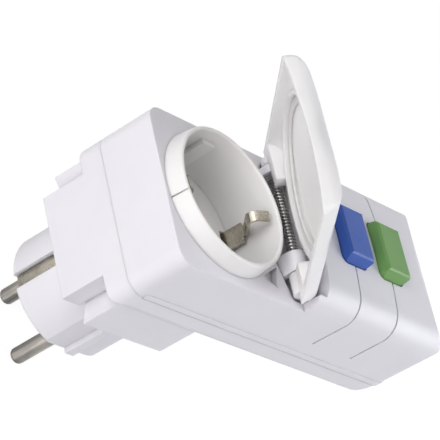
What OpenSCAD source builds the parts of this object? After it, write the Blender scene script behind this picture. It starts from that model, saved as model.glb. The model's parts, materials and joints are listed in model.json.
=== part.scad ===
// Plug-in residual current adapter: a round earthed plug behind, a lidded socket and two buttons in front.
// The origin is on the plug axis at the plug face. The pins point to -Z, the socket opens to +Z,
// and the housing runs from the socket end at -Y to the button end at +Y.

/* [Housing] */
// Width of the housing
body_w = 48.8; // [47:0.2:58]
// Wall of both shells
wall = 2; // [1.6:0.1:2.4]
// Height of the rear shell
rear_h = 7.4; // [6.5:0.1:10]
// Height of the front shell from the parting line to the lid seat
front_h = 17.8; // [17:0.1:24]
// Rise of the front face above the lid seat
dome_h = 9.1; // [8.6:0.1:11]
// Radius of the long front edges
edge_r = 7.4; // [6:0.1:8]
// Crown radius of the front face
crown_r = 150; // [110:5:400]
// Front edge radius at the button end
button_end_r = 9; // [4:0.5:10]
// Upright corner radius at the socket end
socket_corner_r = 5; // [3:0.5:6]
// Upright corner radius at the button end
button_corner_r = 4; // [2.4:0.1:6]
// Radius of the long rear edges
rear_edge_r = 3; // [2.4:0.1:4]
// Rear edge radius at the button end
rear_end_r = 9; // [7.5:0.5:11]
// How far the rear shell ends before the front shell at the button end
rear_setback = 3; // [1:0.1:4]
// Width and depth of the groove at the parting line
seam_w = 0.4; // [0.2:0.1:0.8]
// Height of the raised band along the lower edge of the front shell
band_h = 1.9; // [1:0.1:3]
// How far that band stands out from the sides
band_out = 0.25; // [0.1:0.05:0.5]
// Width of the lines that point to the buttons
line_w = 0.7; // [0.4:0.1:1.2]
// Depth of the lines that point to the buttons
line_depth = 0.4; // [0.2:0.1:0.8]
// How far the lines run down the sides below the lid seat
line_drop = 10.8; // [4:0.2:14]

/* [Plug] */
// Distance between the pins
pin_pitch = 19; // [18:0.5:20]
// Pin diameter
pin_d = 4.8; // [4:0.1:5.2]
// Diameter of the pins inside the plug
pin_shank_d = 6; // [5.6:0.1:6.4]
// Free length of the pins
pin_len = 19; // [17:0.5:22]
// Diameter of the round plug
plug_d = 36.8; // [36:0.2:38]
// Height of the plug from its face to the plug base
plug_h = 20.5; // [18:0.5:26]
// Distance between the two flats of the plug
plug_flat_w = 31.6; // [30:0.2:34]
// Width of the guide rib on each flat
guide_rib_w = 3.2; // [2:0.1:5]
// Height of the guide rib above its flat
guide_rib_out = 1.8; // [1:0.1:2.2]
// Width of the earth recess
earth_slot_w = 4.6; // [4.4:0.1:6]
// Depth of the earth recess
earth_slot_depth = 4; // [3.8:0.1:4.6]
// Width of the plug base
base_w = 45.4; // [42:0.2:46]
// Height of the plug base
base_h = 12.7; // [11:0.1:18]
// Reach of the plug base toward the button end
base_back = 13.6; // [13:0.1:16]
// Reach of the plug base toward the socket end
base_front = 18.1; // [16:0.1:19]
// Setback of the plug base beside the tongue
base_slant = 2.7; // [1:0.1:4]
// Width of the tongue that runs down the socket end
tongue_w = 31; // [28:0.5:33]
// How far the tongue reaches below the plug base
tongue_drop = 1.8; // [0.6:0.1:4]
// Reach of the tongue block toward the button end
tongue_back = 19.6; // [19.2:0.1:22]

/* [Socket] */
// Diameter of the socket recess
recess_d = 39.2; // [38.6:0.1:40]
// Depth of the recess below the collar rim
recess_depth = 17.5; // [16.5:0.1:18.5]
// Height of the collar above the lid seat
collar_h = 5.4; // [4:0.1:5.6]
// Wall of the collar at its rim
collar_wall = 1.4; // [1:0.1:1.8]
// How much thicker the collar is at the lid seat
collar_draft = 0.6; // [0.4:0.1:1]
// Wall of the cup below the lid seat
cup_wall = 1.3; // [1:0.1:1.5]
// Thickness of the recess floor
cup_floor = 3; // [2:0.1:3.4]
// Diameter of the pin entry holes
entry_d = 5.6; // [5.4:0.1:6]
// Width of the two guide ribs in the recess
socket_rib_w = 5; // [3:0.1:6]
// Height of the guide ribs above the recess wall
socket_rib_out = 1.6; // [1:0.1:1.8]
// Distance from the collar rim to the top of the guide ribs
socket_rib_drop = 4; // [3:0.1:8]
// Width of the earth clip's foot
clip_w = 6; // [5:0.1:7]
// Height of the earth clip's foot above the recess floor
clip_foot_h = 7.2; // [5:0.1:8]
// Width of the earth clip's arm and nose
clip_arm_w = 3; // [2:0.1:4]
// Sheet thickness of the earth clip and the earth strap
clip_t = 0.8; // [0.6:0.1:1]
// Distance from the plug axis to the nose of the earth clip
clip_nose = 12.9; // [12:0.1:15]
// Distance from the collar rim down to that nose
nose_drop = 5.4; // [4.6:0.1:7]
// Length of the nose's curl
nose_curl = 4.6; // [3:0.1:5]
// Outer diameter of the contact sleeves
sleeve_d = 6.8; // [6.4:0.1:7.4]

/* [Lid] */
// How far the lid stands open, from closed
lid_open = 44; // [0:1:90]
// Wall of the lid
lid_wall = 1.8; // [1.4:0.1:2.2]
// Skin of the lid's end wall in front of the collar
end_skin = 1; // [0.8:0.1:2]
// Edge radius at the lid's free end
lid_end_r = 4.5; // [2.5:0.5:5]
// Upright corner radius at the lid's free end
lid_corner_r = 2.2; // [2.2:0.1:5]
// Gap between the hinge cheeks and the lid seat
lid_gap = 0.3; // [0.2:0.05:0.5]
// Height of the closed lid's rim above the lid seat
rim_lift = 1.8; // [0.4:0.1:2]
// Rise of the arch in the lid's free edge
rim_arch = 1.4; // [0.4:0.1:2]
// How far the ring in the lid reaches below the collar rim
ring_drop = 1; // [0.4:0.1:1.4]
// Thickness of the ring in the lid
ring_t = 0.8; // [0.6:0.1:1.2]
// Distance from the collar to the hinge axis
hinge_room = 4.8; // [4.4:0.1:7]
// Height of the hinge axis above the lid seat
hinge_rise = 3.1; // [3.05:0.05:3.4]
// Hinge pin diameter
hinge_pin_d = 1.6; // [1.4:0.1:1.9]
// Diameter of the hinge knuckles on the front shell
knuckle_d = 5.8; // [5:0.1:6]
// Length of the short knuckle
short_knuckle = 2.4; // [2:0.1:4]
// Length of the long knuckle
long_knuckle = 6; // [4:0.1:8]
// Gap between the long knuckle and the lid's hinge cheek
knuckle_set = 4.2; // [0.3:0.1:5]
// Slant of the hinge trough's edge on the lid seat
trough_slant = 22.7; // [10:0.1:26]
// Depth of the pockets in the lid seat
pocket_depth = 2.2; // [1:0.1:3]
// Length of the solid hinge corners in the lid, from the hinge axis
hinge_block = 7.4; // [4.4:0.1:8]
// Thickness of the lid's hinge cheeks
cheek_t = 2.3; // [1.8:0.1:2.6]
// Width across the lid's hinge cheeks
cheek_span = 43; // [42:0.2:43.4]
// Wire diameter of the lid spring
spring_wire = 0.5; // [0.4:0.05:0.6]
// Mean diameter of the lid spring
spring_d = 2.8; // [2.8:0.1:3.6]
// Full turns of the lid spring
spring_turns = 24; // [12:1:30]
// Thickness of the gasket
gasket_t = 0.8; // [0.6:0.1:1]
// Width of the gasket
gasket_w = 1.8; // [1.4:0.1:2.4]

/* [Buttons] */
// Distance from the hinge axis to the test button
test_reach = 21.4; // [20.9:0.1:26]
// Distance between the buttons
button_pitch = 18.2; // [17.6:0.1:22]
// Distance from the reset button to the button end
tail_len = 25.3; // [24.9:0.1:34]
// Width of the caps across the housing
cap_w = 18.2; // [16:0.2:22]
// Length of the caps along the housing
cap_l = 11.8; // [9:0.2:12.6]
// Rise of the caps above the front face
cap_rise = 3.2; // [3.2:0.1:5]
// Draft of the caps on their long sides
cap_draft = 0.5; // [0.2:0.1:1.6]
// Draft of the caps at their ends
cap_end_draft = 1.2; // [0.2:0.1:2]
// Upright corner radius of the caps
cap_corner_r = 2.2; // [0.8:0.1:3]
// Chamfer round the top of the caps
cap_edge = 0.5; // [0.2:0.1:1]
// Travel of the test button
test_travel = 2; // [1:0.1:2.2]
// Travel of the reset button
reset_travel = 3; // [2:0.1:3]
// Diameter of the button stems
stem_d = 5; // [4:0.1:5.6]
// Lip that keeps the caps behind the front face
cap_lip = 1.2; // [0.8:0.1:1.6]
// Thickness of that lip
cap_lip_t = 1.2; // [0.8:0.1:1.6]
// Height of the return springs at rest
return_len = 6; // [5.6:0.1:6.4]
// Wire diameter of the return springs
return_wire = 0.6; // [0.4:0.05:0.8]
// Mean diameter of the return springs
return_d = 7.4; // [7:0.1:9]
// Turns of the return springs
return_turns = 3; // [2:1:4]
// Mean diameter of the carrier spring
carrier_spring_d = 5.4; // [5:0.1:6]
// Turns of the carrier spring
carrier_turns = 4; // [3:1:5]

/* [Inside] */
// Thickness of the circuit board
board_t = 1.6; // [1:0.1:2]
// Height of the posts under the circuit board
board_post_h = 1.6; // [1:0.1:2.4]
// Thickness of the copper bars
bar_t = 1; // [0.6:0.1:1.2]
// Width of the copper bars
bar_w = 5; // [4:0.1:5.4]
// Outer diameter of the sensing core
core_d = 19; // [17:0.2:20]
// Inner diameter of the sensing core
core_bore = 11; // [10:0.2:12]
// Length of the sensing core along the housing
core_l = 6; // [4:0.1:6.4]
// Thickness of the winding on the core
winding_t = 0.6; // [0.4:0.1:0.8]
// Thickness of the switch frame's plate
frame_t = 2; // [1.5:0.1:2.4]
// Height of the contact carrier
carrier_h = 6; // [5:0.1:7]
// Length of the contact carrier along the housing
carrier_l = 10; // [9:0.1:10.4]
// Travel of the trip plunger
trip_travel = 1.2; // [0.8:0.1:1.2]
// Outer diameter of the trip coil
coil_d = 10; // [8:0.1:10.4]
// Diameter of the trip plunger
plunger_d = 2.8; // [2.4:0.1:3]
// Shank diameter of the housing screws
screw_d = 2.8; // [2.4:0.1:3]
// Head diameter of the housing screws
screw_head_d = 5; // [4.4:0.1:5.4]

/* [Fits] */
// Radial clearance of pins in their bores
pin_fit = 0.04; // [0.02:0.01:0.08]
// Clearance between parts that slide or pass each other
slide_fit = 0.3; // [0.2:0.05:0.4]

/* [Hidden] */
$fn = 72;
crown_fn = 720;
cut = 1;
half_w = body_w / 2;
pin_x = pin_pitch / 2;
pin_r = pin_d / 2;
shank_r = pin_shank_d / 2;
recess_r = recess_d / 2;
rim_r = recess_r + collar_wall;
collar_r = rim_r + collar_draft;
cup_r = recess_r + cup_wall;
base_z = plug_h;
rear_z = base_z + base_h;
parting_z = rear_z + rear_h;
seat_z = parting_z + front_h;
crest_z = seat_z + dome_h;
rim_z = seat_z + collar_h;
floor_z = rim_z - recess_depth;
under_z = floor_z - cup_floor;
socket_y = -(collar_r + end_skin);
hinge_y = collar_r + hinge_room;
hinge_z = seat_z + hinge_rise;
test_y = hinge_y + test_reach;
reset_y = test_y + button_pitch;
end_y = reset_y + tail_len;
rear_bend_y = end_y - rear_setback - rear_end_r;
edge_x = half_w - edge_r;
edge_z = crest_z - crown_r + sqrt(pow(crown_r - edge_r, 2) - edge_x * edge_x);
hinge_gap = 0.5;
barrel_r = crest_z - hinge_z - 0.1;
step_y = hinge_y + crest_z - hinge_z + hinge_gap;
trough_r = barrel_r + hinge_gap;
cheek_x = cheek_span / 2;
notch_x = cheek_x + 0.4;
cheek_r = hinge_rise - lid_gap;
notch_z = edge_z + sqrt(edge_r * edge_r - pow(notch_x - edge_x, 2));
side_step_y = hinge_y + max(cheek_r, notch_z - hinge_z) + slide_fit;
cheek_in = cheek_x - cheek_t;
knuckle_x = cheek_in - slide_fit;
long_high = cheek_in - knuckle_set;
knuckle_room = knuckle_d / 2 + slide_fit;
far_corner_x = sqrt(max(0, pow(collar_r + slide_fit, 2) - pow(hinge_y - hinge_block, 2)));
near_corner_x = long_high + slide_fit;
trough_side_y = hinge_y - hinge_gap;
seat_ring = 1;
pocket_z = seat_z - pocket_depth;
pocket_wall = 1.9;
lid_z = seat_z + rim_lift;
arch_half = half_w - lid_wall;
arch_r = (arch_half * arch_half + rim_arch * rim_arch) / (2 * rim_arch);
gasket_z = rim_z + 0.2;
gasket_out = rim_r;
spring_low = -knuckle_x + short_knuckle + spring_wire;
spring_high = long_high - long_knuckle - spring_wire;
coil_r = spring_d / 2;
inner_roof = crest_z - wall;
lip_top = inner_roof - 0.8;
lip_low = lip_top - cap_lip_t;
frame_z = lip_low - return_len;
frame_low = frame_z - frame_t;
board_z = rear_z + wall + board_post_h;
board_top = board_z + board_t;
board_front = step_y + 3.4;
board_back = rear_inner_y(board_z) - 0.4;
board_half = half_w - wall - 1.6;
core_r = core_d / 2;
core_y = board_front + 0.6;
core_z = board_top + core_r + winding_t + 0.2;
bar_z = board_top + 1.8;
bar_room = 0.8;
leg_room = 0.6;
feed_x = pin_x;
pole_x = feed_x + 2;
through_w = 2;
through_x = 1.4;
through_h = 2;
riser_back = base_back - wall - 1.2;
load_in_x = feed_x + bar_w / 2 + 1.4;
load_w = 2;
load_out_x = half_w - wall - bar_room - load_w;
cross_y = hinge_y - 2.4;
contact_reach = carrier_l / 2 - 0.7;
tip_r = 1.2;
tip_h = 1;
tip_top = bar_z + bar_t + tip_h;
bridge_z = tip_top + reset_travel + 0.1 + tip_h;
bridge_t = 0.8;
carrier_z = bridge_z + bridge_t;
carrier_top = carrier_z + carrier_h;
carrier_half = pole_x + 2;
guide_pin_x = 6.4;
guide_pin_r = 1.2;
leg_w = 2.4;
leg_l = 3.2;
leg_x = load_out_x - leg_room - leg_w;
core_back = core_y + core_l + 2 * winding_t;
frame_front = core_back + 0.5;
latch_y = reset_y + carrier_l / 2 + 2.7;
latch_t = 1.6;
latch_half = 3;
latch_pin_r = 0.8;
latch_pivot_z = board_top + 1.8;
trip_z = latch_pivot_z + 5.3;
latch_top = trip_z + 5;
latch_ear_t = 1.6;
frame_back = latch_y + 1.4;
front_leg_y = test_y + 4.2;
back_leg_y = frame_back - leg_l / 2;
yoke_y = latch_y + 3.8;
yoke_t = 1;
flange_t = 0.8;
yoke_z = trip_z - coil_d / 2 - 0.1 - yoke_t;
yoke_back = rear_inner_y(yoke_z) - 0.5;
coil_l = yoke_back - yoke_y - 2 * yoke_t - 2 * flange_t;
bobbin_wall = 0.6;
plunger_r = plunger_d / 2;
neck_r = 0.9;
neck_head_r = 1.5;
test_stem_z = core_z + 1;
screw_front_y = tongue_back - 1.4;
screw_front_x = half_w - 4.4;
screw_back_y = rear_bend_y;
screw_back_x = half_w - 5;
boss_r = screw_d / 2 + 1.8;
screw_len = 14;
screw_head_t = 1.8;
screw_sink = 0.7;
flange_pin_r = shank_r + 0.9;
flange_pin_t = 1.8;
tail_r = 1.5;
pin_seat_z = base_z + wall;
tail_z = pin_seat_z + flange_pin_t + bar_t + 1.6;
clip_base_z = under_z - clip_t;
clip_y = recess_r - 1.2;
strap_y = plug_d / 2 - earth_slot_depth + clip_t / 2 + 0.3;
test_leaf_t = 0.8;
test_leaf_top = test_stem_z - test_travel - slide_fit;

// How far the space in the rear shell reaches toward the button end at the level z.
function rear_inner_y(z) =
    rear_bend_y + sqrt(pow(rear_end_r - wall, 2) - pow(rear_z + rear_end_r - z, 2));

// Extrudes an (x, z) outline along the housing.
module along_y(low, high) {
    translate([0, high, 0])
        rotate([90, 0, 0])
            linear_extrude(high - low)
                children();
}

// Extrudes a (y, z) outline across the housing.
module along_x(low, high) {
    translate([low, 0, 0])
        rotate([90, 0, 90])
            linear_extrude(high - low)
                children();
}

// A box between two corners.
module block(low, high) {
    translate(low)
        cube(high - low);
}

// An upright box that is centred on x = 0.
module centred_block(half, low_y, high_y, low_z, high_z) {
    block([-half, low_y, low_z], [half, high_y, high_z]);
}

// A cylinder along x.
module bar_x(r, low, high, y, z) {
    translate([low, y, z])
        rotate([0, 90, 0])
            cylinder(h = high - low, r = r);
}

// A cylinder along y.
module bar_y(r, low, high, x, z) {
    translate([x, low, z])
        rotate([-90, 0, 0])
            cylinder(h = high - low, r = r);
}

// A rectangle with its own corner radius at each end.
module rounded_outline(half, low, high, low_r, high_r) {
    translate([-half, low + low_r])
        square([2 * half, high - high_r - low - low_r]);
    translate([low_r - half, low])
        square([2 * (half - low_r), high - high_r - low]);
    translate([high_r - half, low + low_r])
        square([2 * (half - high_r), high - low - low_r]);
    for (side = [-1, 1]) {
        translate([side * (half - low_r), low + low_r])
            circle(low_r);
        translate([side * (half - high_r), high - high_r])
            circle(high_r);
    }
}

// Outline of the housing seen from the front.
module plan_outline(inset, corner_r = socket_corner_r) {
    rounded_outline(half_w - inset, socket_y + inset, end_y - inset,
        corner_r - inset, button_corner_r - inset);
}

// A band round the sides of the housing between two levels, left out at the socket end.
module side_band(low, high, outer, inner) {
    difference() {
        translate([0, 0, low])
            linear_extrude(high - low)
                difference() {
                    plan_outline(-outer);
                    plan_outline(inner);
                }
        centred_block(body_w, socket_y - 2 * cut, socket_y + socket_corner_r, low - cut, high + cut);
    }
}

// Cross-section of the front: straight sides, round long edges, a crowned face.
module dome_section(inset, low) {
    join_x = edge_x * (crown_r - inset) / (crown_r - edge_r);
    translate([inset - half_w, low])
        square([2 * (half_w - inset), edge_z - low]);
    for (side = [-1, 1])
        translate([side * edge_x, edge_z])
            circle(edge_r - inset);
    intersection() {
        translate([-join_x, low])
            square([2 * join_x, crest_z - low + cut]);
        translate([0, crest_z - crown_r])
            circle(crown_r - inset, $fn = crown_fn);
    }
}

// Long section of the front: round at the lid's free end and at the button end.
module long_section(inset, low) {
    end_r = max(lid_end_r, button_end_r);
    translate([socket_y + inset, low])
        square([end_y - socket_y - 2 * inset, crest_z - end_r - low]);
    translate([socket_y + inset, low])
        square([end_y - button_end_r - socket_y - inset, crest_z - lid_end_r - low]);
    translate([socket_y + lid_end_r, low])
        square([end_y - button_end_r - socket_y - lid_end_r, crest_z - inset - low]);
    translate([socket_y + lid_end_r, crest_z - lid_end_r])
        circle(lid_end_r - inset);
    translate([end_y - button_end_r, crest_z - button_end_r])
        circle(button_end_r - inset);
}

// The rounded front form of the housing, shrunk by inset, above the level low.
module front_form(inset, low, corner_r = socket_corner_r) {
    intersection() {
        along_y(socket_y - cut, end_y + cut)
            dome_section(inset, low);
        along_x(-half_w - cut, half_w + cut)
            long_section(inset, low);
        translate([0, 0, low - cut])
            linear_extrude(crest_z - low + 2 * cut)
                plan_outline(inset, corner_r);
    }
}

// The rounded rear form of the housing, shrunk by inset, up to the level high.
module rear_form(inset, high) {
    long_r = rear_edge_r - inset;
    end_r = rear_end_r - inset;
    intersection() {
        along_y(socket_y - cut, end_y + cut)
            union() {
                translate([inset - half_w, rear_z + rear_edge_r])
                    square([2 * (half_w - inset), high - rear_z - rear_edge_r]);
                translate([rear_edge_r - half_w, rear_z + inset])
                    square([2 * (half_w - rear_edge_r), high - rear_z - inset]);
                for (side = [-1, 1])
                    translate([side * (half_w - rear_edge_r), rear_z + rear_edge_r])
                        circle(long_r);
            }
        along_x(-half_w - cut, half_w + cut)
            union() {
                translate([socket_y + inset, rear_z + inset])
                    square([rear_bend_y - socket_y - inset, high - rear_z - inset]);
                translate([rear_bend_y, rear_z + rear_end_r])
                    circle(end_r);
                if (high > rear_z + rear_end_r)
                    translate([rear_bend_y, rear_z + rear_end_r])
                        square([end_r, high - rear_z - rear_end_r]);
            }
        translate([0, 0, rear_z])
            linear_extrude(high - rear_z)
                plan_outline(inset);
    }
}

// Turns a piece of the closed lid to the angle at which the lid stands open.
module swing_open() {
    translate([0, hinge_y, hinge_z])
        rotate([-lid_open, 0, 0])
            translate([0, -hinge_y, -hinge_z])
                children();
}

// Places of the housing screws.
module at_screws() {
    for (side = [-1, 1]) {
        translate([side * screw_front_x, screw_front_y, 0])
            children();
        translate([side * screw_back_x, screw_back_y, 0])
            children();
    }
}

// Space inside the front shell. The hinge trough's wall is left standing, and so is
// a shelf over the end of the rear shell.
module front_space() {
    shelf_y = end_y - rear_setback - wall;
    difference() {
        intersection() {
            front_form(wall, parting_z - cut);
            union() {
                centred_block(body_w, socket_y, step_y + wall + cut, parting_z - cut, seat_z - wall);
                centred_block(body_w, step_y + wall, end_y, parting_z - cut, crest_z);
            }
        }
        bar_x(trough_r + wall, -half_w, half_w, hinge_y, hinge_z);
        centred_block(body_w, shelf_y, end_y, parting_z - 2 * cut, parting_z + wall);
    }
}

// Plan of the hinge trough: its edge runs slantwise from the sides toward the collar.
module trough_plan() {
    middle_y = trough_side_y - notch_x * tan(trough_slant);
    difference() {
        polygon([[0, middle_y], [notch_x, trough_side_y], [notch_x, step_y],
            [-notch_x, step_y], [-notch_x, trough_side_y]]);
        circle(collar_r + seat_ring);
    }
}

// Space above the lid seat, with the round trough that the lid's barrel turns in.
module lid_space() {
    centred_block(body_w, socket_y - cut, side_step_y, seat_z, crest_z + cut);
    centred_block(notch_x, socket_y - cut, step_y, seat_z, crest_z + cut);
    intersection() {
        bar_x(trough_r, -notch_x, notch_x, hinge_y, hinge_z);
        translate([0, 0, parting_z])
            linear_extrude(crest_z - parting_z)
                trough_plan();
    }
}

// Outlines of the two three-cornered pockets beside the hinge, grown by a factor.
// The corners are set by their distance from the collar and their angle about the plug axis.
module pocket_plan(growth) {
    corners = [for (corner = [[0.8, 38], [3.2, 59], [6.2, 44]])
        (collar_r + corner[0]) * [cos(corner[1]), sin(corner[1])]];
    middle = (corners[0] + corners[1] + corners[2]) / 3;
    for (side = [0, 1])
        mirror([side, 0])
            polygon([for (corner = corners) middle + growth * (corner - middle)]);
}

// A knuckle of the front shell on its foot.
module knuckle(low, high) {
    knuckle_r = knuckle_d / 2;
    foot_z = hinge_z - trough_r - wall / 2;
    bar_x(knuckle_r, low, high, hinge_y, hinge_z);
    block([low, hinge_y - knuckle_r, foot_z], [high, hinge_y - hinge_gap, hinge_z]);
}

// An engraved line that runs from a button over the edge and down the side.
module pointer_line(y) {
    along_y(y - line_w / 2, y + line_w / 2)
        difference() {
            dome_section(-line_depth, seat_z - line_drop);
            dome_section(line_depth, seat_z - line_drop - cut);
            translate([-cap_w / 2, seat_z - line_drop - cut])
                square([cap_w, crest_z]);
        }
}

// Outline of a cap grown by room on every side.
module cap_outline(room) {
    half_l = cap_l / 2 + room;
    rounded_outline(cap_w / 2 + room, -half_l, half_l, cap_corner_r + room, cap_corner_r + room);
}

module front_shell() {
    color("whitesmoke")
        difference() {
            union() {
                difference() {
                    front_form(0, parting_z);
                    front_space();
                    lid_space();
                    for (y = [test_y, reset_y]) {
                        translate([0, y, inner_roof - wall])
                            linear_extrude(3 * wall)
                                cap_outline(slide_fit);
                        pointer_line(y);
                    }
                }
                knuckle(-knuckle_x, short_knuckle - knuckle_x);
                knuckle(long_high - long_knuckle, long_high);
                side_band(parting_z, parting_z + band_h, band_out, wall / 2);
                intersection() {
                    front_form(wall / 2, parting_z);
                    union() {
                        at_screws()
                            translate([0, 0, parting_z])
                                cylinder(h = front_h - wall / 2, r = boss_r);
                        translate([0, 0, pocket_z - wall])
                            linear_extrude(pocket_depth + wall / 2)
                                pocket_plan(pocket_wall);
                    }
                }
            }
            translate([0, 0, pocket_z])
                linear_extrude(pocket_depth + cut)
                    pocket_plan(1);
            translate([0, 0, under_z - cut])
                cylinder(h = crest_z - under_z, r = cup_r + slide_fit / 3);
            bar_x(hinge_pin_d / 2 + pin_fit, -cheek_x, cheek_x, hinge_y, hinge_z);
            at_screws()
                translate([0, 0, parting_z - cut])
                    cylinder(h = screw_len, r = screw_d / 2 + pin_fit);
        }
}

// Plan of the plug base: a box with a slanted end, crossed by the tongue block.
module base_plan(inset) {
    half = base_w / 2 - inset;
    tongue_half = tongue_w / 2 - inset;
    polygon([[-half, inset - base_front], [-half, base_back - inset], [half, base_back - inset],
        [half, inset - base_front], [tongue_half, base_slant + inset - base_front],
        [-tongue_half, base_slant + inset - base_front]]);
    translate([-tongue_half, socket_y + inset])
        square([2 * tongue_half, tongue_back - socket_y - 2 * inset]);
}

// The round plug body with its two flats, guide ribs and rounded face edge.
module plug_body() {
    plug_r = plug_d / 2;
    face_r = 1.2;
    intersection() {
        union() {
            translate([0, 0, face_r])
                cylinder(h = plug_h - face_r + wall / 2, r = plug_r);
            cylinder(h = plug_h, r = plug_r - face_r);
            translate([0, 0, face_r])
                rotate_extrude()
                    translate([plug_r - face_r, 0])
                        circle(face_r);
        }
        union() {
            centred_block(plug_flat_w / 2, -plug_r, plug_r, 0, plug_h + wall);
            centred_block(plug_flat_w / 2 + guide_rib_out, -guide_rib_w / 2, guide_rib_w / 2,
                0, plug_h + wall);
        }
    }
}

module rear_shell() {
    recess_y = plug_d / 2 - earth_slot_depth;
    recess_top = base_z - tongue_drop - 0.8;
    color("whitesmoke")
        difference() {
            union() {
                difference() {
                    union() {
                        rear_form(0, parting_z);
                        translate([0, 0, base_z])
                            linear_extrude(base_h + wall / 2)
                                base_plan(0);
                        centred_block(tongue_w / 2, socket_y, base_slant - base_front,
                            base_z - tongue_drop, rear_z);
                    }
                    rear_form(wall, parting_z + cut);
                    translate([0, 0, base_z + wall])
                        linear_extrude(base_h + wall)
                            base_plan(wall);
                    side_band(parting_z - seam_w, parting_z + cut, cut, seam_w);
                }
                plug_body();
                at_screws()
                    translate([0, 0, rear_z + wall / 2])
                        cylinder(h = rear_h - wall / 2, r = boss_r);
                for (side = [-1, 1], y = [board_front + 5, screw_back_y - boss_r - 3])
                    translate([side * (board_half - 4), y, rear_z + wall / 2])
                        cylinder(h = board_z - rear_z - wall / 2, r = boss_r);
            }
            for (side = [-1, 1]) {
                translate([side * pin_x, 0, -cut])
                    cylinder(h = pin_seat_z + 2 * cut, r = shank_r + pin_fit);
                mirror([0, (1 - side) / 2, 0]) {
                    centred_block(earth_slot_w / 2, recess_y, plug_d, -cut, recess_top);
                    centred_block(earth_slot_w / 2, recess_y - clip_t, recess_y + 3 * clip_t,
                        recess_top - cut, pin_seat_z + cut);
                }
            }
            at_screws() {
                cylinder(h = parting_z + cut, r = screw_d / 2 + pin_fit);
                cylinder(h = rear_z + screw_sink + screw_head_t + pin_fit,
                    r = screw_head_d / 2 + slide_fit / 2);
            }
        }
}

module socket_insert() {
    slot_half = clip_w / 2 + slide_fit;
    round_r = collar_wall / 2;
    round_z = rim_z - round_r;
    color("whitesmoke")
        difference() {
            union() {
                rotate_extrude() {
                    polygon([[0, under_z], [cup_r, under_z], [cup_r, seat_z], [collar_r, seat_z],
                        [rim_r, round_z], [recess_r, round_z], [recess_r, floor_z], [0, floor_z]]);
                    translate([recess_r + round_r, round_z])
                        circle(round_r);
                }
                intersection() {
                    translate([0, 0, floor_z])
                        cylinder(h = recess_depth - socket_rib_drop, r = recess_r + cup_wall / 2);
                    for (side = [-1, 1])
                        translate([side * recess_r - socket_rib_out, -socket_rib_w / 2, floor_z])
                            cube([2 * socket_rib_out, socket_rib_w, recess_depth - socket_rib_drop]);
                }
            }
            for (side = [-1, 1]) {
                translate([side * pin_x, 0, under_z - cut])
                    cylinder(h = cup_floor + 2 * cut, r = entry_d / 2);
                mirror([0, (1 - side) / 2, 0])
                    centred_block(slot_half, clip_y - 2.2, recess_r - slide_fit,
                        under_z - cut, floor_z + cut);
            }
            rotate([0, 0, 12])
                centred_block(0.2, -collar_r - cut, 0.5 - rim_r, seat_z - cut, rim_z + cut);
        }
}

// The lid in its closed place.
module closed_lid() {
    gasket_top = gasket_z + gasket_t;
    ring_z = rim_z - ring_drop;
    difference() {
        union() {
            difference() {
                intersection() {
                    front_form(0, lid_z, lid_corner_r);
                    union() {
                        centred_block(body_w, socket_y - cut, hinge_y, lid_z, crest_z + cut);
                        intersection() {
                            bar_x(barrel_r, -cheek_x, cheek_x, hinge_y, hinge_z);
                            centred_block(body_w, hinge_y - cut, step_y, hinge_z, crest_z);
                        }
                    }
                }
                intersection() {
                    front_form(lid_wall, lid_z - cut, lid_corner_r);
                    centred_block(body_w, socket_y, hinge_y + cut / 10, lid_z - cut, crest_z);
                }
                bar_x(barrel_r - lid_wall, -cheek_in, cheek_in, hinge_y, hinge_z);
                bar_y(arch_r, socket_y - cut, socket_y + lid_wall + cut, 0, lid_z + rim_arch - arch_r,
                    $fn = crown_fn);
            }
            intersection() {
                front_form(lid_wall / 2, lid_z, lid_corner_r);
                translate([0, 0, ring_z])
                    difference() {
                        cylinder(h = dome_h, r = collar_r + slide_fit + ring_t);
                        translate([0, 0, -cut])
                            cylinder(h = dome_h + 2 * cut, r = gasket_out - gasket_w);
                    }
            }
            for (side = [-1, 1])
                mirror([(1 - side) / 2, 0, 0]) {
                    bar_x(cheek_r, side > 0 ? near_corner_x : cheek_in, cheek_x, hinge_y, hinge_z);
                    intersection() {
                        front_form(0, lid_z, lid_corner_r);
                        union() {
                            block([side > 0 ? near_corner_x : far_corner_x, hinge_y - hinge_block, lid_z],
                                [half_w, hinge_y - knuckle_room, crest_z]);
                            block([cheek_in, hinge_y - hinge_block, lid_z], [half_w, hinge_y, crest_z]);
                            intersection() {
                                bar_x(barrel_r, cheek_in, cheek_x, hinge_y, hinge_z);
                                block([cheek_in, hinge_y - cut, hinge_z], [cheek_x, step_y, crest_z]);
                            }
                        }
                    }
                }
        }
        rotate_extrude()
            polygon([[0, seat_z], [collar_r + slide_fit, seat_z],
                [rim_r + slide_fit, gasket_top], [0, gasket_top]]);
        bar_x(hinge_pin_d / 2 + pin_fit, -half_w, half_w, hinge_y, hinge_z);
    }
}

module lid() {
    color("whitesmoke")
        swing_open()
            closed_lid();
}

module lid_gasket() {
    color("gainsboro")
        swing_open()
            translate([0, 0, gasket_z])
                difference() {
                    cylinder(h = gasket_t, r = gasket_out);
                    translate([0, 0, -cut])
                        cylinder(h = gasket_t + 2 * cut, r = gasket_out - gasket_w);
                }
}

module hinge_pin() {
    color("silver")
        bar_x(hinge_pin_d / 2, 0.2 - cheek_x, cheek_x - 0.2, hinge_y, hinge_z);
}

// Sweeps a round wire with six sides along a path whose direction is never parallel to side.
function unit(v) = v / norm(v);
function heading(path, i) = unit(path[min(i + 1, len(path) - 1)] - path[max(i - 1, 0)]);
function wire_ring(path, i, r, side) =
    let (ahead = heading(path, i), across = unit(cross(ahead, side)), up = cross(ahead, across))
    [for (k = [0 : 5]) path[i] + r * (cos(60 * k) * across + sin(60 * k) * up)];

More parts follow.
